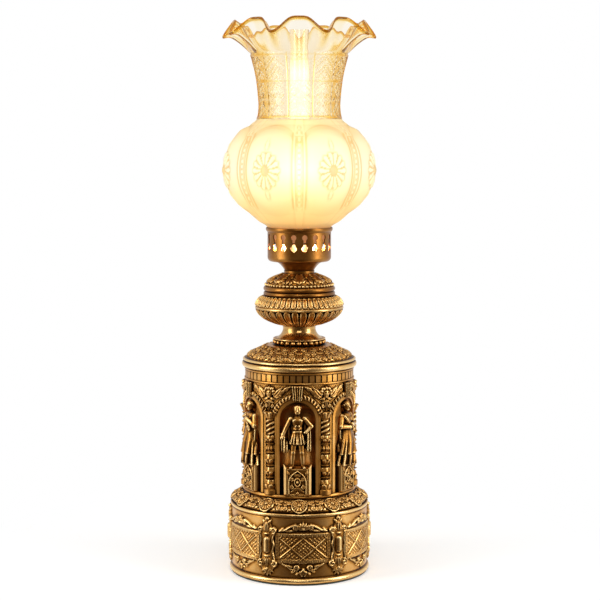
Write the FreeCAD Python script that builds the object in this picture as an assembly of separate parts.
import FreeCAD, Part
import math
import os

# Antique bronze oil lamp with a pressed glass shade.
# Sizes are in millimetres. +Z is up, the origin is the middle of the underside and the front faces -Y.

# Fits
solder_gap = 0.1            # between pieces that are soldered or pressed together
seat_gap = 0.3              # under and around pieces that lift off
shaft_clearance = 0.05      # around the winder shaft in its bearing
rod_clearance = 0.4         # around the tie rod
overrun = 1.0               # how far a cutter runs past what it cuts

# Stack, from the table up
felt_thickness = 1.5
base_height = 77.0
collar_height = 13.0
drum_height = 124.0
dentil_height = 13.5
cap_height = 25.0
bead_height = 6.5
bell_height = 13.5
bowl_height = 20.0
shoulder_height = 13.2
ring_height = 10.8
dome_height = 14.0

# Base drum
base_radius = 75.6
base_wall = 2.5
base_plate = 3.0
foot_bulge = 2.6            # how far the foot's bead stands out
foot_height = 5.6
base_bead = 2.4
base_turn = 3.2             # the base is clamped a little out of line with the front
panel_count = 6
panel_half_angle = 22.8
panel_sill = 23.5
panel_height = 31.5
panel_relief = 0.9
panel_border = 4.2
panel_recess = 0.5
pilaster_half_angle = 5.6
pilaster_sill = 6.5
pilaster_height = 65.5
pilaster_relief = 2.2
pilaster_swells = 3
felt_inset = 2.0
cover_thickness = 2.0
cover_hole_radius = 16.0
ballast_height = 14.0
ballast_side_gap = 0.5

# Leaf collar between base and drum
collar_inset = 0.6          # the collar's foot lies in from the base wall
collar_margin = 0.4         # the collar's top stands out past the drum's foot
collar_wall = 4.0
collar_ogee = [             # (share of the way in, share of the way up)
    (-0.06, 0.2),
    (0.2, 0.46),
    (0.64, 0.76),
    (0.95, 0.95),
]
roundel_count = 12
roundel_radius = 5.6
roundel_relief = 1.3
roundel_crown = 0.8         # where its edge begins to round, as a share of its radius
roundel_level = 0.56        # its middle, as a share of the collar's height

# Niche drum
drum_radius = 60.0
drum_foot_step = 2.2
drum_foot_height = 4.0
drum_turn = -1.8            # the drum, like the base, is not quite square to the front
drum_wall = 2.5
drum_core_radius = 30.0     # hole in the drum's floor
niche_count = 6
niche_radius = 20.5
niche_forward = 4.0         # the niche's own axis lies this far outside the drum's face
crown_margin = 17.7         # between the arch's crown and the drum's top
niche_frame_width = 3.2
niche_frame_relief = 1.0
archivolt_width = 5.0
archivolt_relief = 0.7
keystone_half_angle = 4.4
keystone_relief = 1.8
keystone_margin = 1.0       # between a keystone and the drum's top
column_inset = 2.6          # the columns' axes lie in from the drum's face
column_margin = 29.2        # between the columns' tops and the drum's top
column_radius = 5.8
column_groove_gap = 0.5
column_shaft_radius = 4.6
column_lobes = 6
column_lobe_depth = 0.8
column_twist = 160.0
column_twist_steps = 10
column_swells = [           # (share of the radius, share of the height), a row for each swelling
    [(1.0, 0.03), (0.82, 0.09), (0.78, 0.13), (0.92, 0.16)],
    [(0.7, 0.18), (0.92, 0.29), (0.94, 0.37), (0.76, 0.46)],
    [(0.94, 0.485), (0.94, 0.515)],
    [(0.78, 0.53), (0.94, 0.6), (0.82, 0.655)],
]
column_capital = [(0.86, 0.85), (0.9, 0.9), (1.0, 0.97)]
rope_low = 0.65             # shares of the column's height
rope_high = 0.86
pedestal_height = 29.5
pedestal_half_width = 14.9
pedestal_front_half_width = 11.9
pedestal_forward = 2.5
pedestal_chamfer = 3.0
pedestal_depth = 16.5
pedestal_gap = 0.4
figure_inset = 1.2
figure_headroom = 2.8       # between a statuette's head and the arch's crown
pattern_height = 68.8       # height of the statuettes' pattern, which is scaled to the niche
head_radius = 4.5
head_forward = 0.6
joint_swell = 1.06          # how much rounder a statuette's joints are than its limbs

# Dentil ring and cap
dentil_count = 54
dentil_width = 5.2
dentil_tall = 7.4
dentil_inset = 1.6          # the band lies in from the drum's face
dentil_relief = 1.6
dentil_wall = 4.0
lower_fillet = 2.5
lower_fillet_step = 1.0
upper_fillet = 3.0
upper_fillet_step = 0.6
fillet_edge = 1.0
cornice_step = 3.6
cornice_tube = 3.4
cap_bead_step = 2.6
cap_wall = 2.5
cap_top_radius = 33.0
cap_dome = [(0.2, 0.32), (0.56, 0.63), (0.87, 0.93)]       # (share of the way in, of the way up)

# Bead collar, bell and font
bead_count = 26
bead_radius = 2.5
bead_circle = 27.4
bead_flange = 1.5           # plain ring over the beads
bell_foot_radius = 28.2
bell_waist_radius = 18.8
bell_head_radius = 19.6
bell_wall = 2.0
bell_flange = 1.2
bell_side = [(0.16, 0.13), (0.68, 0.42), (1.0, 0.75), (1.0, 0.86)]     # (share inwards, share upwards)
font_radius = 48.5
font_wall = 2.0
font_ring_radius = 39.6
font_boss_radius = 9.0
font_boss_depth = 5.0
font_foot_radius = 20.0
flute_count = 32
flute_radius = 1.5
bowl_step = 0.06            # upright foot of the bowl, as a share of its height
bowl_side = [(0.34, 0.2), (0.66, 0.41), (0.89, 0.7)]       # (share of the way out, share of the way up)
shoulder_side = [(0.06, 0.36), (0.42, 0.75)]               # (share of the way in, share of the way up)
shoulder_tuck = 1.0         # how far the shoulder's top goes in under the ring
ring_groove = 2.0           # depth of the grooves beside the two rings
dome_side = [(0.12, 0.36), (0.5, 0.66)]                    # (share of the way in, share of the way up)
dome_neck = (1.5, 0.1)      # last bend of the dome: out from its top edge, down as a share of its height
dome_shoulder = 4.4         # flat rim of the dome round the font's mouth

# Tie rod with its washer and nut
rod_radius = 5.0
rod_below_nut = 6.0
washer_radius = 16.0
washer_thickness = 2.0
nut_across_corners = 18.5
nut_height = 8.0

# Burner collar, base and gallery
collar_flange = 2.8         # how far the collar's flange covers the dome
collar_wall_thickness = 2.9
collar_flange_height = 3.0
collar_spigot = 5.0
thread_margin = 3.1         # between the wick's edge and the thread
thread_wall = 1.4
thread_length = 8.5
cone_inset = 0.5            # the burner's cone lies in from the collar's flange
cone_top_radius = 26.0
cone_height = 9.8
cone_side = [(0.25, 0.38), (0.5, 0.65)]                    # (share of the way out, share of the way up)
burner_plate = 2.0
burner_boss_margin = 9.0    # around the wick
burner_boss_rise = 2.7
fitter_gap = 0.45           # around the shade's fitter in the gallery
gallery_wall = 1.2
gallery_corner = 4.5
gallery_height = 37.5
lip_flare = 1.8
lip_height = 5.0
lip_roll = 0.4              # how far the lip's edge turns in again
lip_swell = 0.4             # where it is widest, down from its edge as a share of its height
lip_bevel = 0.7             # where its bevel inside begins, likewise
slot_count = 18
slot_low_radius = 3.3
slot_high_radius = 3.0
slot_waist = 3.0
slot_low = 15.5             # slot heights above the gallery's underside
slot_high = 27.5
seat_height = 21.5
seat_thickness = 1.3
seat_width = 6.0

# Wick, winder, deck and dome
wick_width = 16.0
wick_thickness = 2.5
wick_gap = 0.3
wick_length = 92.0
tube_wall = 0.6
tube_top = 35.0             # heights above the gallery's underside
wick_top = 36.5
wheel_count = 2
wheel_spacing = 7.0
wheel_thickness = 1.6
wheel_teeth = 14
wheel_tooth_depth = 0.9
wheel_gap = 0.25
shaft_radius = 1.5
shaft_overhang = 1.5
bracket_half_width = 7.6
bracket_plate = 1.4
bracket_height = 10.0
knob_radius = 8.0
knob_thickness = 4.5
knob_chamfer = 0.7
knob_standoff = 8.0
knob_flutes = 24
knob_flute_radius = 0.6
basket_foot_inset = 0.4     # in from the burner's boss
basket_lip = 1.0
basket_wall = 0.8
basket_holes = 12
basket_hole_radius = 2.0
basket_shaft_hole = 2.6
deck_height = 24.5          # deck's top face above the gallery's underside
deck_thickness = 1.0
deck_margin = 4.4           # around the chimney's foot
deck_hole_inset = 6.2       # in from the chimney's foot
prong_count = 6
prong_half_angle = 7.0
prong_height = 9.0
prong_wall = 0.7
prong_splay = 0.4           # the prong's foot stands off the chimney
prong_mouth = 0.8           # its tip flares
prong_waist = 0.7           # where it touches, as a share of its height
deflector_inset = 3.2       # in from the chimney's foot
deflector_height = 15.5
deflector_wall = 0.6
deflector_slot_margin = 1.5
deflector_slot_width = 7.0
deflector_side = [(1.0, 0.3), (0.88, 0.66), (0.55, 0.93), (0.0, 1.0)]  # (share of radius, of height)
deflector_slot_depth = 0.5  # share of the dome's height that the slot goes down

# Chimney and shade
chimney_foot_radius = 20.2
chimney_wall = 1.4
chimney_foot_height = 30.0
chimney_waist_radius = 12.5
chimney_waist_height = 42.0
chimney_top_radius = 9.4
chimney_height = 227.0
chimney_shoulder = (1.2, 4.0)       # first bend over the foot: inwards and upwards
chimney_hollow = (1.2, -3.5)        # second bend, out from the waist and below it
chimney_waist_rise = 3.0
fitter_radius = 33.35       # 2 5/8 inch fitter
fitter_height = 13.0
glass = 3.0
rim_glass = 2.4
globe_radius = 81.6
globe_rise = 79.0           # height of the widest ring above the shade's underside
neck_radius = 44.3
neck_rise = 155.0
neck_top_radius = 52.6
neck_top_rise = 202.0
globe_side = [              # (share of the widest radius, height from the widest ring)
    (0.58, -54.7),
    (0.795, -39.3),
    (0.95, -21.0),
    (1.0, 0.0),
    (0.95, 23.0),
    (0.8, 41.0),
]
fitter_bend = (3.2, 4.6)    # first bend over the fitter: outwards and upwards
neck_side = [(6.7, 52.5), (0.9, 64.0)]      # (out from the neck's narrowest, height from the widest ring)
neck_flare = (2.9, 25.0)    # out from and up from the neck's narrowest
rim_radius = 77.6
rim_rise = 229.4
rim_side = [                # from the neck's top: (share of the way out, of the way up, of the ruffle)
    (0.1, 0.19, 0.1),
    (0.43, 0.62, 0.42),
    (0.76, 0.94, 0.74),
    (1.0, 1.0, 1.0),
]
ruffle_count = 9
ruffle_out = 6.5
ruffle_up = 7.6
ruffle_steps = 4            # points along each ruffle
rim_embed = 4.0

# Radii that follow from the sizes above
foot_radius = base_radius + foot_bulge
drum_foot_radius = drum_radius + drum_foot_step
collar_bottom_radius = base_radius - collar_inset
collar_top_radius = drum_foot_radius + collar_margin
niche_centre = drum_radius + niche_forward
column_centre = drum_radius - column_inset
pedestal_front = drum_radius + pedestal_forward
pedestal_back = pedestal_front - pedestal_depth
figure_centre = drum_radius - figure_inset
dentil_band_radius = drum_radius - dentil_inset
dentil_radius = dentil_band_radius + dentil_relief
dentil_bore = dentil_band_radius - dentil_wall
lower_fillet_radius = drum_radius + lower_fillet_step
upper_fillet_radius = drum_radius + upper_fillet_step
cornice_radius = drum_radius + cornice_step
cap_bead_radius = drum_radius + cap_bead_step
gallery_radius = fitter_radius + fitter_gap + gallery_wall
lip_radius = gallery_radius + lip_flare
deck_radius = chimney_foot_radius + deck_margin
basket_top_radius = deck_radius - basket_lip
burner_boss_radius = wick_width / 2 + burner_boss_margin
basket_foot_radius = burner_boss_radius - basket_foot_inset
deflector_radius = chimney_foot_radius - deflector_inset
deck_hole = chimney_foot_radius - deck_hole_inset
deflector_slot_length = wick_width + 2 * deflector_slot_margin
thread_radius = wick_width / 2 + thread_margin
mouth_radius = thread_radius + collar_wall_thickness
collar_flange_radius = mouth_radius + collar_flange
cone_bottom_radius = collar_flange_radius - cone_inset
dome_top_radius = mouth_radius + dome_shoulder

# Heights that follow from the sizes above
niche_crown = drum_height - crown_margin
column_height = drum_height - drum_foot_height - column_margin
niche_spring = niche_crown - niche_radius
figure_height = niche_crown - drum_foot_height - pedestal_height - figure_headroom

# Levels
z_base = felt_thickness
z_collar = z_base + base_height
z_drum = z_collar + collar_height
z_dentil = z_drum + drum_height
z_cap = z_dentil + dentil_height
z_bead = z_cap + cap_height
z_bell = z_bead + bead_height
z_bowl = z_bell + bell_height
z_shoulder = z_bowl + bowl_height
z_ring = z_shoulder + shoulder_height
z_dome = z_ring + ring_height
z_mouth = z_dome + dome_height
z_burner = z_mouth + collar_flange_height + seat_gap
z_gallery = z_burner + cone_height
z_deck = z_gallery + deck_height
z_shade = z_gallery + seat_height + seat_gap
z_chimney = z_deck + seat_gap

ORIGIN = FreeCAD.Vector(0, 0, 0)
UP = FreeCAD.Vector(0, 0, 1)
parts = {}


class Outline:
    """An outline in the plane of radius and height, drawn edge by edge and turned about the lamp's axis."""

    def __init__(self, radius, height):
        self.start = FreeCAD.Vector(radius, 0, height)
        self.here = self.start
        self.edges = []

    def line(self, radius, height):
        end = FreeCAD.Vector(radius, 0, height)
        self.edges.append(Part.LineSegment(self.here, end).toShape())
        self.here = end
        return self

    def arc(self, middle, end):
        middle = FreeCAD.Vector(middle[0], 0, middle[1])
        end = FreeCAD.Vector(end[0], 0, end[1])
        self.edges.append(Part.Arc(self.here, middle, end).toShape())
        self.here = end
        return self

    def curve(self, points):
        """A smooth curve from the last point through the given ones."""
        path = [self.here] + [FreeCAD.Vector(r, 0, z) for r, z in points]
        spline = Part.BSplineCurve()
        spline.interpolate(path)
        self.edges.append(spline.toShape())
        self.here = path[-1]
        return self

    def turn(self, degrees=360.0):
        """The solid swept by the closed outline; a part turn is centred on the front."""
        if self.here.distanceToPoint(self.start) > 1e-6:
            self.line(self.start.x, self.start.z)
        solid = Part.Face(Part.Wire(self.edges)).revolve(ORIGIN, UP, degrees)
        if degrees < 360.0:
            solid.rotate(ORIGIN, UP, -90.0 - degrees / 2)
        return solid


def inset(points, wall):
    """The points of an outline that runs upwards, moved inwards square to the outline by the wall."""
    moved = []
    for i, (r, z) in enumerate(points):
        before = points[max(i - 1, 0)]
        after = points[min(i + 1, len(points) - 1)]
        dr, dz = after[0] - before[0], after[1] - before[1]
        length = math.hypot(dr, dz)
        moved.append((r - wall * dz / length, z + wall * dr / length))
    return moved


def turned(shape, degrees):
    """A copy of the shape turned about the lamp's axis."""
    copy = shape.copy()
    copy.rotate(ORIGIN, UP, degrees)
    return copy


def around(shape, count, first=0.0):
    """Copies of the shape, spaced evenly about the lamp's axis."""
    return [turned(shape, first + 360.0 * k / count) for k in range(count)]


def spun_shell(points, wall):
    """A turned shell: a smooth outside through the points and an even wall, with flat ends."""
    inside = inset(points, wall)
    low, high = points[0][1], points[-1][1]
    inside[0] = (inside[0][0], low)
    inside[-1] = (inside[-1][0], high)
    outline = Outline(*points[0]).curve(points[1:]).line(*inside[-1])
    return outline.curve(inside[-2::-1]).turn()


def prism(points, low, high):
    """An upright prism on a plan of straight sides."""
    corners = [FreeCAD.Vector(x, y, low) for x, y in points]
    face = Part.Face(Part.makePolygon(corners + corners[:1]))
    return face.extrude(FreeCAD.Vector(0, 0, high - low))


def cylinder_y(x, z, radius, y_from, y_to):
    """A cylinder along Y."""
    return Part.makeCylinder(radius, y_to - y_from, FreeCAD.Vector(x, y_from, z), FreeCAD.Vector(0, 1, 0))


def block(x_from, x_to, y_from, y_to, z_from, z_to):
    """A rectangular block between two corners."""
    corner = FreeCAD.Vector(x_from, y_from, z_from)
    return Part.makeBox(x_to - x_from, y_to - y_from, z_to - z_from, corner)


# Base: felt, cover, ballast and drum


def make_base():
    bore = base_radius - base_wall
    z_cover = z_base + cover_thickness
    parts["felt_pad"] = Part.makeCylinder(foot_radius - felt_inset, felt_thickness)
    cover = Part.makeCylinder(bore - solder_gap, cover_thickness, FreeCAD.Vector(0, 0, z_base))
    parts["base_cover"] = cover.cut(Part.makeCylinder(cover_hole_radius, z_cover + overrun))
    ballast = Outline(cover_hole_radius, z_cover)
    ballast.line(bore - ballast_side_gap, z_cover).line(bore - ballast_side_gap, z_cover + ballast_height)
    parts["ballast_weight"] = ballast.line(cover_hole_radius, z_cover + ballast_height).turn()

    foot_top = z_base + foot_height
    drum = Outline(bore, z_base).line(base_radius, z_base)
    drum.arc((foot_radius, z_base + foot_height / 2), (base_radius, foot_top))
    drum.line(base_radius, z_collar - base_bead)
    drum.arc((base_radius + base_bead / 4, z_collar - base_bead / 2), (base_radius, z_collar))
    drum.line(rod_radius + rod_clearance, z_collar).line(rod_radius + rod_clearance, z_collar - base_plate)
    drum.line(bore, z_collar - base_plate)
    drum = drum.turn()

    sill = z_base + panel_sill
    panel = Outline(bore + overrun, sill).line(base_radius + panel_relief, sill)
    panel.line(base_radius + panel_relief, sill + panel_height).line(bore + overrun, sill + panel_height)
    panel = panel.turn(2 * panel_half_angle)
    field_face = base_radius + panel_relief - panel_recess
    field_low, field_high = sill + panel_border, sill + panel_height - panel_border
    field = Outline(field_face, field_low).line(field_face + overrun, field_low)
    field.line(field_face + overrun, field_high).line(field_face, field_high)
    field = field.turn(2 * (panel_half_angle - math.degrees(panel_border / base_radius)))
    foot = z_base + pilaster_sill
    swell = pilaster_height / pilaster_swells
    edge = base_radius + pilaster_relief / 3
    face = base_radius + pilaster_relief
    pilaster = Outline(bore + overrun, foot).line(edge, foot)
    for k in range(pilaster_swells):
        pilaster.curve([(face, foot + swell * (k + 0.5)), (edge, foot + swell * (k + 1))])
    pilaster = pilaster.line(bore + overrun, foot + pilaster_height).turn(2 * pilaster_half_angle)
    step = 360.0 / panel_count
    reliefs = around(panel, panel_count, base_turn) + around(pilaster, panel_count, base_turn + step / 2)
    drum = drum.multiFuse(reliefs).cut(around(field, panel_count, base_turn))
    parts["base_drum"] = drum.removeSplitter()


def make_leaf_collar():
    rise = collar_height
    run = collar_bottom_radius - collar_top_radius
    ogee = [(collar_bottom_radius - run * inwards, z_collar + rise * up) for inwards, up in collar_ogee]
    ogee.append((collar_top_radius, z_drum))
    ring = Outline(collar_bottom_radius - collar_wall, z_collar)
    ring.line(collar_bottom_radius, z_collar).curve(ogee)
    inner = collar_top_radius - 2 * collar_wall
    ring.line(inner, z_drum).line(inner, z_drum - collar_wall / 2)
    ring.line(collar_top_radius - collar_wall, z_drum - collar_wall / 2)
    ring = ring.turn()
    button = Outline(0, -collar_wall / 2).line(roundel_radius, -collar_wall / 2).line(roundel_radius, 0)
    button = button.curve([(roundel_radius * roundel_crown, roundel_relief), (0, roundel_relief)]).turn()
    slope = math.degrees(math.atan2(run, rise))
    button.rotate(ORIGIN, FreeCAD.Vector(1, 0, 0), 90.0 - slope)
    middle = (collar_bottom_radius + collar_top_radius) / 2
    button.translate(FreeCAD.Vector(0, -middle, z_collar + rise * roundel_level))
    parts["leaf_collar"] = ring.multiFuse(around(button, roundel_count)).removeSplitter()


# Niche drum with its columns, pedestals and statuettes


def niche_space(grow, low):
    """The space of one niche at the front: an upright half-round recess under a half-dome."""
    radius = niche_radius + grow
    spring = z_drum + niche_spring
    centre = FreeCAD.Vector(0, -niche_centre, low)
    shaft = Part.makeCylinder(radius, spring - low, centre)
    return shaft.fuse(Part.makeSphere(radius, FreeCAD.Vector(0, -niche_centre, spring)))


def drum_band(relief, low, high, degrees):
    """A raised strip on the drum's face at the front."""
    inside, face = drum_radius - overrun, drum_radius + relief
    return Outline(inside, low).line(face, low).line(face, high).line(inside, high).turn(degrees)


def make_niche_drum():
    """A cored casting: thin wall and floor, with shells around the niches and the columns' grooves."""
    floor = z_drum + drum_foot_height
    step = 360.0 / niche_count
    bore = drum_radius - drum_wall
    body = Outline(drum_core_radius, z_drum).line(drum_foot_radius, z_drum)
    bulge = (drum_foot_radius + drum_foot_height / 4, z_drum + drum_foot_height / 2)
    body.arc(bulge, (drum_foot_radius, floor))
    body.line(drum_radius, floor).line(drum_radius, z_dentil).line(bore, z_dentil)
    body = body.line(bore, floor).line(drum_core_radius, floor).turn()

    column_room = column_height + seat_gap

    def groove(grow):
        radius = column_radius + column_groove_gap + grow
        return Part.makeCylinder(radius, column_room + grow, FreeCAD.Vector(0, -column_centre, floor))

    inside = Part.makeCylinder(drum_radius - drum_wall / 2, drum_height - drum_foot_height / 2,
                               FreeCAD.Vector(0, 0, z_drum + drum_foot_height / 2))
    shells = around(niche_space(drum_wall, z_drum).common(inside), niche_count)
    shells += around(groove(drum_wall).common(inside), niche_count, step / 2)
    frame = drum_band(niche_frame_relief, floor, z_dentil, step)
    frame = frame.common(niche_space(niche_frame_width, floor - overrun))
    arch = niche_space(niche_frame_width + archivolt_width, floor)
    archivolt = drum_band(archivolt_relief, floor + column_room, z_dentil, step).common(arch)
    crown = z_drum + niche_crown + niche_frame_width / 2
    keystone = drum_band(keystone_relief, crown, z_dentil - keystone_margin, 2 * keystone_half_angle)
    reliefs = around(frame, niche_count) + around(archivolt, niche_count) + around(keystone, niche_count)
    drum = body.multiFuse(shells + reliefs)
    drum = drum.cut(around(niche_space(0, floor), niche_count) + around(groove(0), niche_count, step / 2))
    parts["niche_drum"] = turned(drum.removeSplitter(), drum_turn)


def twisted_shaft(low, high):
    """A rope shaft: a lobed section that turns as it rises."""
    sections = []
    corners = 2 * column_lobes
    for i in range(column_twist_steps + 1):
        share = i / column_twist_steps
        ring = []
        for k in range(corners):
            radius = column_shaft_radius - (k % 2) * column_lobe_depth
            angle = math.radians(column_twist * share) + 2 * math.pi * k / corners
            z = low + (high - low) * share
            ring.append(FreeCAD.Vector(radius * math.cos(angle), radius * math.sin(angle), z))
        sections.append(Part.makePolygon(ring + ring[:1]))
    return Part.makeLoft(sections, True, True)


def make_columns():
    """Baluster columns: leafy foot, vase, collar, rope shaft and spreading capital."""
    floor = z_drum + drum_foot_height

    def level(share):
        return floor + column_height * share

    def placed(swelling):
        return [(column_radius * wide, level(share)) for wide, share in swelling]

    foot = Outline(0, floor).line(column_radius, floor)
    for swelling in column_swells:
        points = placed(swelling)
        foot.line(*points[0]).curve(points[1:])
    foot = foot.line(0, foot.here.z).turn()
    bottom, *side = placed(column_capital)
    head = Outline(0, bottom[1]).line(*bottom).curve(side)
    head = head.line(column_radius, level(1.0)).line(0, level(1.0)).turn()
    rope = twisted_shaft(level(rope_low), level(rope_high))
    column = foot.multiFuse([rope, head]).removeSplitter()
    column.translate(FreeCAD.Vector(0, -column_centre, 0))
    step = 360.0 / niche_count
    for k, copy in enumerate(around(column, niche_count, drum_turn + step / 2)):
        parts[f"twisted_column_{k + 1}"] = copy


def limb(points):
    """A tapered limb through (x, outward, height, radius) points, rounded at each joint."""
    pieces = []
    for i, (x, out, z, radius) in enumerate(points):
        here = FreeCAD.Vector(x, -out, z)
        pieces.append(Part.makeSphere(radius * joint_swell, here))
        if i + 1 < len(points):
            nx, nout, nz, next_radius = points[i + 1]
            along = FreeCAD.Vector(nx, -nout, nz) - here
            pieces.append(Part.makeCone(radius, next_radius, along.Length, here, along))
    return pieces


def draped(sections):
    """Cloth or a trunk: a loft through (height, half width, half depth, outward) ovals."""
    rings = []
    for z, wide, deep, out in sections:
        oval = Part.Ellipse(FreeCAD.Vector(0, -out, z), max(wide, deep), min(wide, deep))
        wire = Part.Wire([oval.toShape()])
        rings.append(wire)
    return Part.makeLoft(rings, True, False)


def round_head():
    """The plain round head of a statuette, at the top of its pattern."""
    middle = FreeCAD.Vector(0, -head_forward, pattern_height - head_radius)
    return Part.makeSphere(head_radius, middle)


def man_figure():
    """A standing man in a short tunic, one hand on the hip, with a cloak behind."""
    tunic = [(24, 7.4, 5.0, 0.5), (31, 6.6, 4.6, 0.3), (38, 5.4, 3.9, 0)]
    chest = [(47, 6.8, 4.3, 0.3), (55, 6.4, 3.6, 0)]
    cloak = [(17, 12.0, 1.2, -3.6), (36, 11.0, 1.2, -3.4), (56, 6.0, 1.2, -2.6)]
    toe = 1.5
    sole = toe * joint_swell
    left_leg = [(-6.0, 3.6, sole, toe), (-5.4, 0, 2.6, 1.9), (-4.7, 0.8, 16, 3.0), (-3.6, 0, 30, 3.6)]
    right_leg = [(6.4, 3.4, sole, toe), (5.6, 0, 2.6, 1.9), (4.8, 1.0, 16, 3.0), (3.6, 0, 30, 3.6)]
    left_arm = [(-6.8, 0.35, 52.9, 2.35), (-11.2, 0.2, 43.5, 1.9), (-15.0, 2.2, 35, 1.5)]
    right_arm = [(7.0, 0, 53.2, 2.35), (13.0, 0, 44.5, 1.9), (8.4, 2.6, 37.5, 1.6)]
    neck = [(0, 0, 54, 2.8), (0, 0.3, 60, 2.4)]
    pieces = [draped(tunic + chest), draped(cloak)]
    for points in (left_leg, right_leg, left_arm, right_arm, neck):
        pieces += limb(points)
    pieces.append(round_head())
    return pieces[0].multiFuse(pieces[1:]).removeSplitter()


def woman_figure():
    """A standing woman in a long robe, her hands together in front."""
    skirt = [(0, 9.0, 6.0, 0.3), (10, 8.2, 5.6, 0.3), (28, 7.4, 5.2, 0.2), (39, 5.6, 4.2, 0)]
    bodice = [(47, 6.6, 4.8, 0.4), (54, 6.8, 4.0, 0), (57, 3.2, 2.8, 0)]
    left_arm = [(-6.6, 0, 53, 2.5), (-10.0, 0.6, 42.5, 2.2), (-2.5, 5.2, 40, 1.6)]
    right_arm = [(6.6, 0, 53, 2.5), (9.8, 0.6, 42, 2.2), (2.5, 5.2, 42.5, 1.6)]
    neck = [(0, 0, 55, 2.6), (0, 0.3, 60, 2.2)]
    hair = [(0, -1.4, 64.6, 3.5), (0, -2.6, 59.0, 2.5)]
    pieces = [draped(skirt + bodice)]
    for points in (left_arm, right_arm, neck, hair):
        pieces += limb(points)
    pieces.append(round_head())
    return pieces[0].multiFuse(pieces[1:]).removeSplitter()


def make_statuettes():
    floor = z_drum + drum_foot_height
    top = floor + pedestal_height
    side = pedestal_front - pedestal_chamfer
    plan = [
        (-pedestal_front_half_width, -pedestal_front), (pedestal_front_half_width, -pedestal_front),
        (pedestal_half_width, -side), (pedestal_half_width, -pedestal_back),
        (-pedestal_half_width, -pedestal_back), (-pedestal_half_width, -side),
    ]
    room = Part.makeCylinder(niche_radius - pedestal_gap, top, FreeCAD.Vector(0, -niche_centre, 0))
    pedestal = prism(plan, floor, top).common(room)
    figures = [man_figure(), woman_figure()]
    for figure in figures:
        figure.scale(figure_height / pattern_height)
        figure.translate(FreeCAD.Vector(0, -figure_centre, top))
    for k in range(niche_count):
        angle = drum_turn + 360.0 * k / niche_count
        parts[f"figure_pedestal_{k + 1}"] = turned(pedestal, angle)
        parts[f"niche_figure_{k + 1}"] = turned(figures[k % 2], angle)


# Dentil ring, cap, bead collar and bell


def make_upper_rings():
    low = z_dentil + lower_fillet
    high = z_cap - upper_fillet
    edge = lower_fillet_radius - fillet_edge
    ring = Outline(dentil_bore, z_dentil).line(edge, z_dentil)
    ring.arc((lower_fillet_radius, z_dentil + lower_fillet / 2), (edge, low))
    ring.line(dentil_band_radius, low).line(dentil_band_radius, high)
    edge = upper_fillet_radius - fillet_edge
    ring.line(edge, high).arc((upper_fillet_radius, high + upper_fillet / 2), (edge, z_cap))
    ring = ring.line(dentil_bore, z_cap).turn()
    middle = (low + high) / 2
    tooth = block(-dentil_width / 2, dentil_width / 2, -dentil_radius, -dentil_band_radius + overrun,
                  middle - dentil_tall / 2, middle + dentil_tall / 2)
    parts["dentil_ring"] = ring.multiFuse(around(tooth, dentil_count)).removeSplitter()

    torus_top = z_cap + 2 * cornice_tube
    edge = cornice_radius - cornice_tube
    bead_top = torus_top + cornice_tube
    cap = Outline(dentil_bore, z_cap).line(edge, z_cap)
    cap.arc((cornice_radius, z_cap + cornice_tube), (edge, torus_top))
    cap.arc((cap_bead_radius, torus_top + cornice_tube / 2), (edge, bead_top))
    run = edge - cap_top_radius
    rise = z_bead - bead_top
    dome = [(edge - run * inwards, bead_top + rise * up) for inwards, up in cap_dome]
    dome.append((cap_top_radius, z_bead))
    cap.curve(dome)
    hole = rod_radius + rod_clearance
    cap.line(hole, z_bead).line(hole, z_bead - cap_wall)
    inside = inset([(edge, bead_top)] + dome, cap_wall)
    cap.line(inside[-2][0], z_bead - cap_wall).curve([inside[2], inside[1]])
    parts["drum_cap"] = cap.line(dentil_bore, bead_top).turn()

    ring = Outline(rod_radius + rod_clearance, z_bead).line(bead_circle, z_bead)
    z_flange = z_bell - bead_flange
    ring.line(bead_circle, z_flange).line(bead_circle + bead_radius / 2, z_flange)
    ring.line(bead_circle + bead_radius / 2, z_bell)
    ring = ring.line(rod_radius + rod_clearance, z_bell).turn()
    bead = Part.makeSphere(bead_radius, FreeCAD.Vector(0, -bead_circle, (z_bead + z_flange) / 2))
    parts["bead_collar"] = ring.multiFuse(around(bead, bead_count)).removeSplitter()

    run = bell_foot_radius - bell_waist_radius
    side = [(bell_foot_radius - run * inwards, z_bell + bell_height * up) for inwards, up in bell_side]
    inner = [(r - bell_wall, z) for r, z in side]
    bell = Outline(bell_foot_radius - bell_wall, z_bell).line(bell_foot_radius, z_bell)
    bell.line(bell_foot_radius, z_bell + bell_flange).curve(side)
    bell.arc((bell_head_radius, (bell.here.z + z_bowl) / 2), (bell_waist_radius, z_bowl))
    bell.line(bell_waist_radius - bell_wall, z_bowl).line(*inner[-1])
    parts["bell_neck"] = bell.curve(inner[-2::-1]).turn()


# Font: fluted bowl, shoulder, double ring and dome, with the burner's threaded collar


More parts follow.
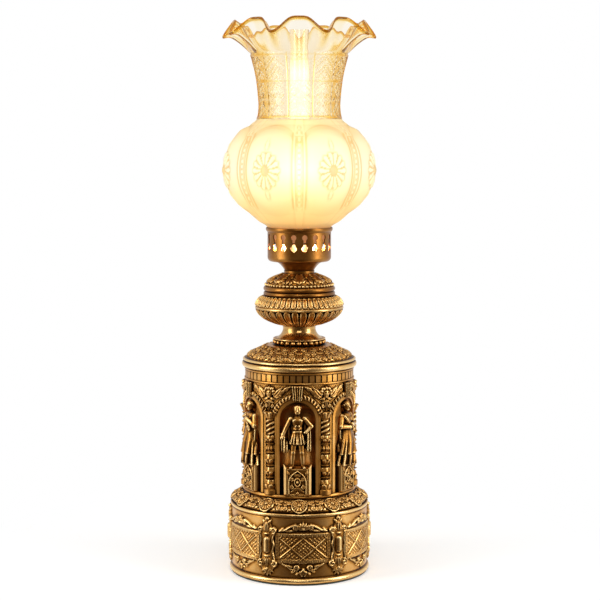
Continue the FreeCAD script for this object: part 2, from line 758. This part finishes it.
def make_font():
    rise, run = bowl_height, font_radius - font_foot_radius
    side = [(font_foot_radius + run * out, z_bowl + rise * up) for out, up in bowl_side]
    side.append((font_radius, z_shoulder))
    z_step = z_bowl + rise * bowl_step
    inner = inset([(font_foot_radius, z_step)] + side, font_wall + flute_radius)
    boss_top = z_bowl + font_boss_depth + font_wall
    socket = rod_radius + solder_gap
    bowl = Outline(socket, z_bowl).line(font_foot_radius, z_bowl).line(font_foot_radius, z_step)
    bowl.curve(side).line(inner[-1][0], z_shoulder).curve(inner[-2:0:-1])
    bowl.line(font_boss_radius, inner[1][1]).line(font_boss_radius, boss_top).line(0, boss_top)
    bowl.line(0, z_bowl + font_boss_depth).line(socket, z_bowl + font_boss_depth)
    bowl = bowl.turn()
    path = Outline(*side[0]).curve(side[1:3]).edges[0]
    tangent = path.tangentAt(path.FirstParameter)
    ring = Part.makeCircle(flute_radius, path.valueAt(path.FirstParameter), tangent)
    flute = Part.Wire([path]).makePipeShell([Part.Wire([ring])], True, True)
    flute.rotate(ORIGIN, UP, -90.0)
    parts["font_bowl"] = bowl.cut(around(flute, flute_count)).removeSplitter()

    run = font_radius - font_ring_radius
    shoulder = [(font_radius, z_shoulder)]
    for inwards, up in shoulder_side:
        shoulder.append((font_radius - run * inwards, z_shoulder + shoulder_height * up))
    shoulder.append((font_ring_radius - shoulder_tuck, z_ring))
    parts["font_shoulder"] = spun_shell(shoulder, font_wall)

    edge = font_ring_radius - ring_groove
    middle = z_ring + ring_height / 2
    band = Outline(edge - font_wall, z_ring).line(edge, z_ring)
    band.arc((font_ring_radius, z_ring + ring_height / 4), (edge, middle))
    band.arc((font_ring_radius, middle + ring_height / 4), (edge, z_dome))
    parts["font_ring"] = band.line(edge - font_wall, z_dome).turn()

    run = edge - dome_top_radius
    dome = [(edge, z_dome)]
    dome += [(edge - run * inwards, z_dome + dome_height * up) for inwards, up in dome_side]
    dome.append((dome_top_radius + dome_neck[0], z_mouth - dome_height * dome_neck[1]))
    dome.append((dome_top_radius, z_mouth))
    inside = inset(dome, font_wall)
    shell = Outline(*dome[0]).curve(dome[1:])
    shell.line(mouth_radius, z_mouth).line(mouth_radius, z_mouth - font_wall)
    shell.line(inside[3][0], z_mouth - font_wall).curve([inside[2], inside[1], (edge - font_wall, z_dome)])
    parts["font_dome"] = shell.turn()

    bore = thread_radius + seat_gap
    z_flange = z_mouth + collar_flange_height
    spigot = mouth_radius - solder_gap
    z_spigot = z_mouth - collar_spigot
    collar = Outline(bore, z_spigot).line(spigot, z_spigot).line(spigot, z_mouth)
    collar.line(collar_flange_radius, z_mouth).line(collar_flange_radius, z_flange)
    parts["burner_collar"] = collar.line(bore, z_flange).turn()


def make_tie_rod():
    """The rod that clamps the stack between the base's plate and the font's boss."""
    z_plate = z_collar - base_plate
    z_washer = z_plate - washer_thickness
    z_nut = z_washer - nut_height
    z_end = z_nut - rod_below_nut
    washer = Part.makeCylinder(washer_radius, washer_thickness, FreeCAD.Vector(0, 0, z_washer))
    hole = Part.makeCylinder(rod_radius + solder_gap, z_collar)
    parts["base_washer"] = washer.cut(hole)
    corners = [math.radians(60 * k) for k in range(6)]
    half = nut_across_corners / 2
    nut = prism([(half * math.cos(a), half * math.sin(a)) for a in corners], z_nut, z_washer)
    parts["base_nut"] = nut.cut(hole)
    z_top = z_bowl + font_boss_depth - solder_gap
    parts["tie_rod"] = Part.makeCylinder(rod_radius, z_top - z_end, FreeCAD.Vector(0, 0, z_end))


# Burner: base, gallery, shade seat, basket, deck, dome, wick tube and winder bracket


def wick_tube_block(grow, low, high):
    """A flat block of the wick tube's outside, grown all round."""
    half_x = wick_thickness / 2 + wick_gap + tube_wall + grow
    half_y = wick_width / 2 + wick_gap + tube_wall + grow
    return block(-half_x, half_x, -half_y, half_y, low, high)


def make_burner_base():
    inside = thread_radius - thread_wall
    z_nose = z_burner - thread_length
    z_boss = z_gallery + burner_boss_rise
    run = cone_top_radius - cone_bottom_radius
    side = [(cone_bottom_radius + run * out, z_burner + cone_height * up) for out, up in cone_side]
    side.append((cone_top_radius, z_gallery))
    body = Outline(inside, z_nose).line(thread_radius, z_nose).line(thread_radius, z_burner)
    body.line(cone_bottom_radius, z_burner).curve(side).line(burner_boss_radius, z_gallery)
    body.line(burner_boss_radius, z_boss).line(0, z_boss).line(0, z_boss - burner_plate)
    body.line(cone_bottom_radius - burner_plate, z_boss - burner_plate).line(inside, z_burner)
    opening = wick_tube_block(solder_gap, z_boss - burner_plate - overrun, z_boss + overrun)
    parts["burner_base"] = body.turn().cut(opening)


def keyhole_slot():
    """The cutter for one draught slot at the front: two round ends and a narrow waist."""
    z_low, z_high = z_gallery + slot_low, z_gallery + slot_high
    y_in, y_out = -gallery_radius + 4 * gallery_wall, -gallery_radius - overrun
    waist = block(-slot_waist / 2, slot_waist / 2, y_out, y_in, z_low, z_high)
    low_end = cylinder_y(0, z_low, slot_low_radius, y_out, y_in)
    return waist.multiFuse([low_end, cylinder_y(0, z_high, slot_high_radius, y_out, y_in)])


def make_gallery():
    bore = gallery_radius - gallery_wall
    z_floor = z_gallery + gallery_wall
    z_lip = z_gallery + gallery_height
    turn = gallery_corner * (1 - math.sqrt(0.5))
    tight = (gallery_corner - gallery_wall) * (1 - math.sqrt(0.5))
    hole = burner_boss_radius + solder_gap
    cup = Outline(hole, z_gallery).line(gallery_radius - gallery_corner, z_gallery)
    cup.arc((gallery_radius - turn, z_gallery + turn), (gallery_radius, z_gallery + gallery_corner))
    cup.line(gallery_radius, z_lip - lip_height)
    cup.curve([(lip_radius, z_lip - lip_height * lip_swell), (lip_radius - lip_roll, z_lip)])
    cup.line(lip_radius - gallery_wall, z_lip).line(bore, z_lip - lip_height * lip_bevel)
    cup.line(bore, z_gallery + gallery_corner)
    cup.arc((bore - tight, z_floor + tight), (gallery_radius - gallery_corner, z_floor))
    cup = cup.line(hole, z_floor).turn()
    pitch = 360.0 / slot_count
    parts["gallery"] = cup.cut(around(keyhole_slot(), slot_count, pitch / 2)).removeSplitter()
    seat_top = z_gallery + seat_height
    seat_bottom = seat_top - seat_thickness
    edge = bore - solder_gap
    ring = Outline(edge - seat_width, seat_bottom).line(edge, seat_bottom).line(edge, seat_top)
    parts["shade_seat"] = ring.line(edge - seat_width, seat_top).turn()


def make_basket_and_deck():
    z_foot = z_gallery + burner_boss_rise
    z_rim = z_deck - deck_thickness
    bottom = basket_foot_radius - basket_wall
    hole = wick_width / 2 + wick_gap + tube_wall + overrun
    cup = Outline(hole, z_foot).line(basket_foot_radius, z_foot)
    cup.line(basket_top_radius, z_rim - basket_wall)
    cup.line(deck_radius, z_rim - basket_wall).line(deck_radius, z_rim)
    cup.line(basket_top_radius - basket_wall, z_rim).line(bottom, z_foot + basket_wall)
    cup.line(hole, z_foot + basket_wall)
    cup = cup.turn()
    z_hole = (z_foot + z_rim) / 2
    vent = cylinder_y(0, z_hole, basket_hole_radius, -basket_top_radius - overrun, -basket_foot_radius / 2)
    y_in, y_out = basket_foot_radius / 2, basket_top_radius + overrun
    passage = cylinder_y(winder_x, winder_z, basket_shaft_hole, y_in, y_out)
    vents = [v for k, v in enumerate(around(vent, basket_holes)) if k != basket_holes // 2]
    parts["burner_basket"] = cup.cut(vents + [passage])

    inner = chimney_foot_radius + seat_gap
    deck = Outline(deck_hole, z_rim).line(deck_radius, z_rim).line(deck_radius, z_deck)
    deck = deck.line(deck_hole, z_deck).turn()
    foot, mouth = inner + prong_splay, inner + prong_mouth
    z_prong = z_deck - deck_thickness / 2
    z_waist = z_deck + prong_height * prong_waist
    z_tip = z_deck + prong_height
    prong = Outline(foot, z_prong).line(foot + prong_wall, z_prong).line(inner + prong_wall, z_waist)
    prong.line(mouth + prong_wall, z_tip).line(mouth, z_tip)
    prong = prong.line(inner, z_waist).turn(2 * prong_half_angle)
    parts["chimney_holder"] = deck.multiFuse(around(prong, prong_count)).removeSplitter()

    rise = deflector_height
    side = [(deflector_radius * wide, z_deck + rise * up) for wide, up in deflector_side]
    inside = [(max(r - deflector_wall, 0), z - deflector_wall * (r < deflector_radius)) for r, z in side]
    dome = Outline(deflector_radius - deflector_wall, z_deck).line(deflector_radius, z_deck).line(*side[0])
    dome.curve(side[1:]).line(*inside[-1]).curve(inside[-2::-1])
    half_x, half_y = deflector_slot_width / 2, deflector_slot_length / 2
    z_slot = z_deck + rise * (1 - deflector_slot_depth)
    slot = block(-half_x, half_x, -half_y, half_y, z_slot, z_deck + rise + overrun)
    parts["deflector_dome"] = dome.turn().cut(slot)


def make_wick_tube():
    z_low = z_burner
    z_high = z_gallery + tube_top
    half_x = wick_thickness / 2 + wick_gap
    half_y = wick_width / 2 + wick_gap
    tube = wick_tube_block(0, z_low, z_high)
    tube = tube.cut(block(-half_x, half_x, -half_y, half_y, z_low - overrun, z_high + overrun))
    windows = []
    for y in wheel_places:
        wide = wheel_thickness / 2 + seat_gap
        windows.append(block(0, half_x + 2 * tube_wall, y - wide, y + wide,
                             winder_z - wheel_radius - seat_gap, winder_z + wheel_radius + seat_gap))
    parts["wick_tube"] = tube.cut(windows)

    near = half_x + tube_wall + solder_gap
    far = winder_x + wheel_radius + seat_gap + bracket_plate
    low, high = winder_z - bracket_height / 2, winder_z + bracket_height / 2
    inside = bracket_half_width - bracket_plate
    bracket = block(near, far, -bracket_half_width, bracket_half_width, low, high)
    hollow = block(near - overrun, far - bracket_plate, -inside, inside, low - overrun, high + overrun)
    bracket = bracket.cut(hollow)
    bearing = cylinder_y(winder_x, winder_z, shaft_radius + shaft_clearance, -2 * bracket_half_width,
                         2 * bracket_half_width)
    parts["winder_bracket"] = bracket.cut(bearing)


# Moving pieces: winder, wick, chimney and shade


def make_winder():
    y_knob = gallery_radius + knob_standoff
    y_start = -bracket_half_width - shaft_overhang
    shaft = cylinder_y(winder_x, winder_z, shaft_radius, y_start, y_knob + knob_thickness)
    parts["winder_shaft"] = shaft
    wheels = []
    outline = []
    for k in range(2 * wheel_teeth):
        radius = wheel_radius - (k % 2) * wheel_tooth_depth
        angle = math.pi * k / wheel_teeth
        outline.append((radius * math.cos(angle), radius * math.sin(angle)))
    wheel = prism(outline, -wheel_thickness / 2, wheel_thickness / 2)
    wheel = wheel.cut(Part.makeCylinder(shaft_radius + solder_gap / 2, 4 * wheel_thickness,
                                        FreeCAD.Vector(0, 0, -2 * wheel_thickness)))
    wheel.rotate(ORIGIN, FreeCAD.Vector(1, 0, 0), 90.0)
    for y in wheel_places:
        copy = wheel.copy()
        copy.translate(FreeCAD.Vector(winder_x, y, winder_z))
        wheels.append(copy)
    parts["winder_wheels"] = Part.makeCompound(wheels)

    knob = cylinder_y(0, 0, knob_radius, 0, knob_thickness)
    knob = knob.makeChamfer(knob_chamfer, [e for e in knob.Edges if e.Closed])
    flute = cylinder_y(0, -knob_radius, knob_flute_radius, -overrun, knob_thickness + overrun)
    flutes = []
    for k in range(knob_flutes):
        copy = flute.copy()
        copy.rotate(ORIGIN, FreeCAD.Vector(0, 1, 0), 360.0 * k / knob_flutes)
        flutes.append(copy)
    bore = cylinder_y(0, 0, shaft_radius + solder_gap / 2, -overrun, knob_thickness + overrun)
    knob = knob.cut(flutes + [bore])
    knob.translate(FreeCAD.Vector(winder_x, y_knob, winder_z))
    parts["winder_knob"] = knob


def make_wick():
    z_high = z_gallery + wick_top
    half_x, half_y = wick_thickness / 2, wick_width / 2
    parts["wick"] = block(-half_x, half_x, -half_y, half_y, z_high - wick_length, z_high)


def make_chimney():
    z_top = z_chimney + chimney_height
    z_shoulder_low = z_chimney + chimney_foot_height
    z_waist = z_chimney + chimney_waist_height
    side = [
        (chimney_foot_radius - chimney_shoulder[0], z_shoulder_low + chimney_shoulder[1]),
        (chimney_waist_radius + chimney_hollow[0], z_waist + chimney_hollow[1]),
        (chimney_waist_radius, z_waist + chimney_waist_rise),
    ]
    tube = Outline(chimney_foot_radius - chimney_wall, z_chimney).line(chimney_foot_radius, z_chimney)
    tube.line(chimney_foot_radius, z_shoulder_low).curve(side).line(chimney_top_radius, z_top)
    tube.line(chimney_top_radius - chimney_wall, z_top)
    tube.line(chimney_waist_radius - chimney_wall, side[-1][1])
    tube.curve([(r - chimney_wall, z - chimney_wall / 2) for r, z in side[1::-1]]
               + [(chimney_foot_radius - chimney_wall, z_shoulder_low - chimney_wall / 2)])
    parts["chimney"] = tube.turn()


def ruffled_face(profile, weights):
    """A flaring surface of revolution thrown into ruffles, by weights that grow up the profile."""
    rows = []
    steps = ruffle_count * ruffle_steps
    for j in range(steps + 1):
        angle = math.pi + 2 * math.pi * j / steps
        wave = math.cos(ruffle_count * angle)
        row = []
        for (r, z), weight in zip(profile, weights):
            radius = r - ruffle_out * weight * wave
            height = z + ruffle_up * weight * wave
            row.append(FreeCAD.Vector(radius * math.sin(angle), -radius * math.cos(angle), height))
        rows.append(row)
    surface = Part.BSplineSurface()
    surface.interpolate(rows)
    return surface


def make_shade():
    """Globe and neck turned as one, with a ruffled rim that grows out of the neck's top edge."""
    z_fitter = z_shade + fitter_height
    z_neck_top = z_shade + neck_top_rise
    z_globe = z_shade + globe_rise
    z_neck = z_shade + neck_rise
    side = [(fitter_radius, z_fitter), (fitter_radius + fitter_bend[0], z_fitter + fitter_bend[1])]
    side += [(globe_radius * wide, z_globe + up) for wide, up in globe_side]
    side += [(neck_radius + out, z_globe + up) for out, up in neck_side]
    side += [(neck_radius, z_neck), (neck_radius + neck_flare[0], z_neck + neck_flare[1])]
    side.append((neck_top_radius, z_neck_top))
    inner = inset(side, glass)
    inner[0] = (fitter_radius - glass, z_fitter)
    inner[-1] = (neck_top_radius - glass, z_neck_top)
    body = Outline(fitter_radius - glass, z_shade).line(fitter_radius, z_shade)
    body.line(*side[0]).curve(side[1:])
    body = body.line(*inner[-1]).curve(inner[-2::-1]).turn()

    step_in = (glass - rim_glass) / 2
    slope = (neck_top_radius - side[-2][0]) / (z_neck_top - side[-2][1])
    run, rise = rim_radius - neck_top_radius, rim_rise - neck_top_rise
    outer = [(neck_top_radius - rim_embed * slope - step_in, z_neck_top - rim_embed)]
    outer += [(neck_top_radius + run * out, z_neck_top + rise * up) for out, up, _ in rim_side]
    weights = [0.0] + [weight for _, _, weight in rim_side]
    outside = ruffled_face(outer, weights)
    inside = ruffled_face(inset(outer, rim_glass), weights)
    edges = [[surface.vIso(end).toShape() for surface in (outside, inside)] for end in (0.0, 1.0)]
    faces = [outside.toShape(), inside.toShape()] + [Part.makeRuledSurface(*pair) for pair in edges]
    rim = Part.makeCompound(faces)
    rim.sewShape()
    rim = Part.Solid(rim.Shells[0])
    if rim.Volume < 0:
        rim.reverse()
    parts["shade"] = body.fuse(rim).removeSplitter()


# The winder passes out through the lower end of a slot at the back, which sets its place
winder_z = z_gallery + slot_low
winder_x = gallery_radius * math.sin(math.radians(180.0 / slot_count))
wheel_radius = winder_x - wick_thickness / 2 - wheel_gap
wheel_places = [wheel_spacing * (k - (wheel_count - 1) / 2) for k in range(wheel_count)]

make_base()
make_leaf_collar()
make_niche_drum()
make_columns()
make_statuettes()
make_upper_rings()
make_font()
make_tie_rod()
make_burner_base()
make_gallery()
make_basket_and_deck()
make_wick_tube()
make_winder()
make_wick()
make_chimney()
make_shade()

os.makedirs("parts", exist_ok=True)
for name, shape in parts.items():
    shape.exportStep(f"parts/{name}.step")
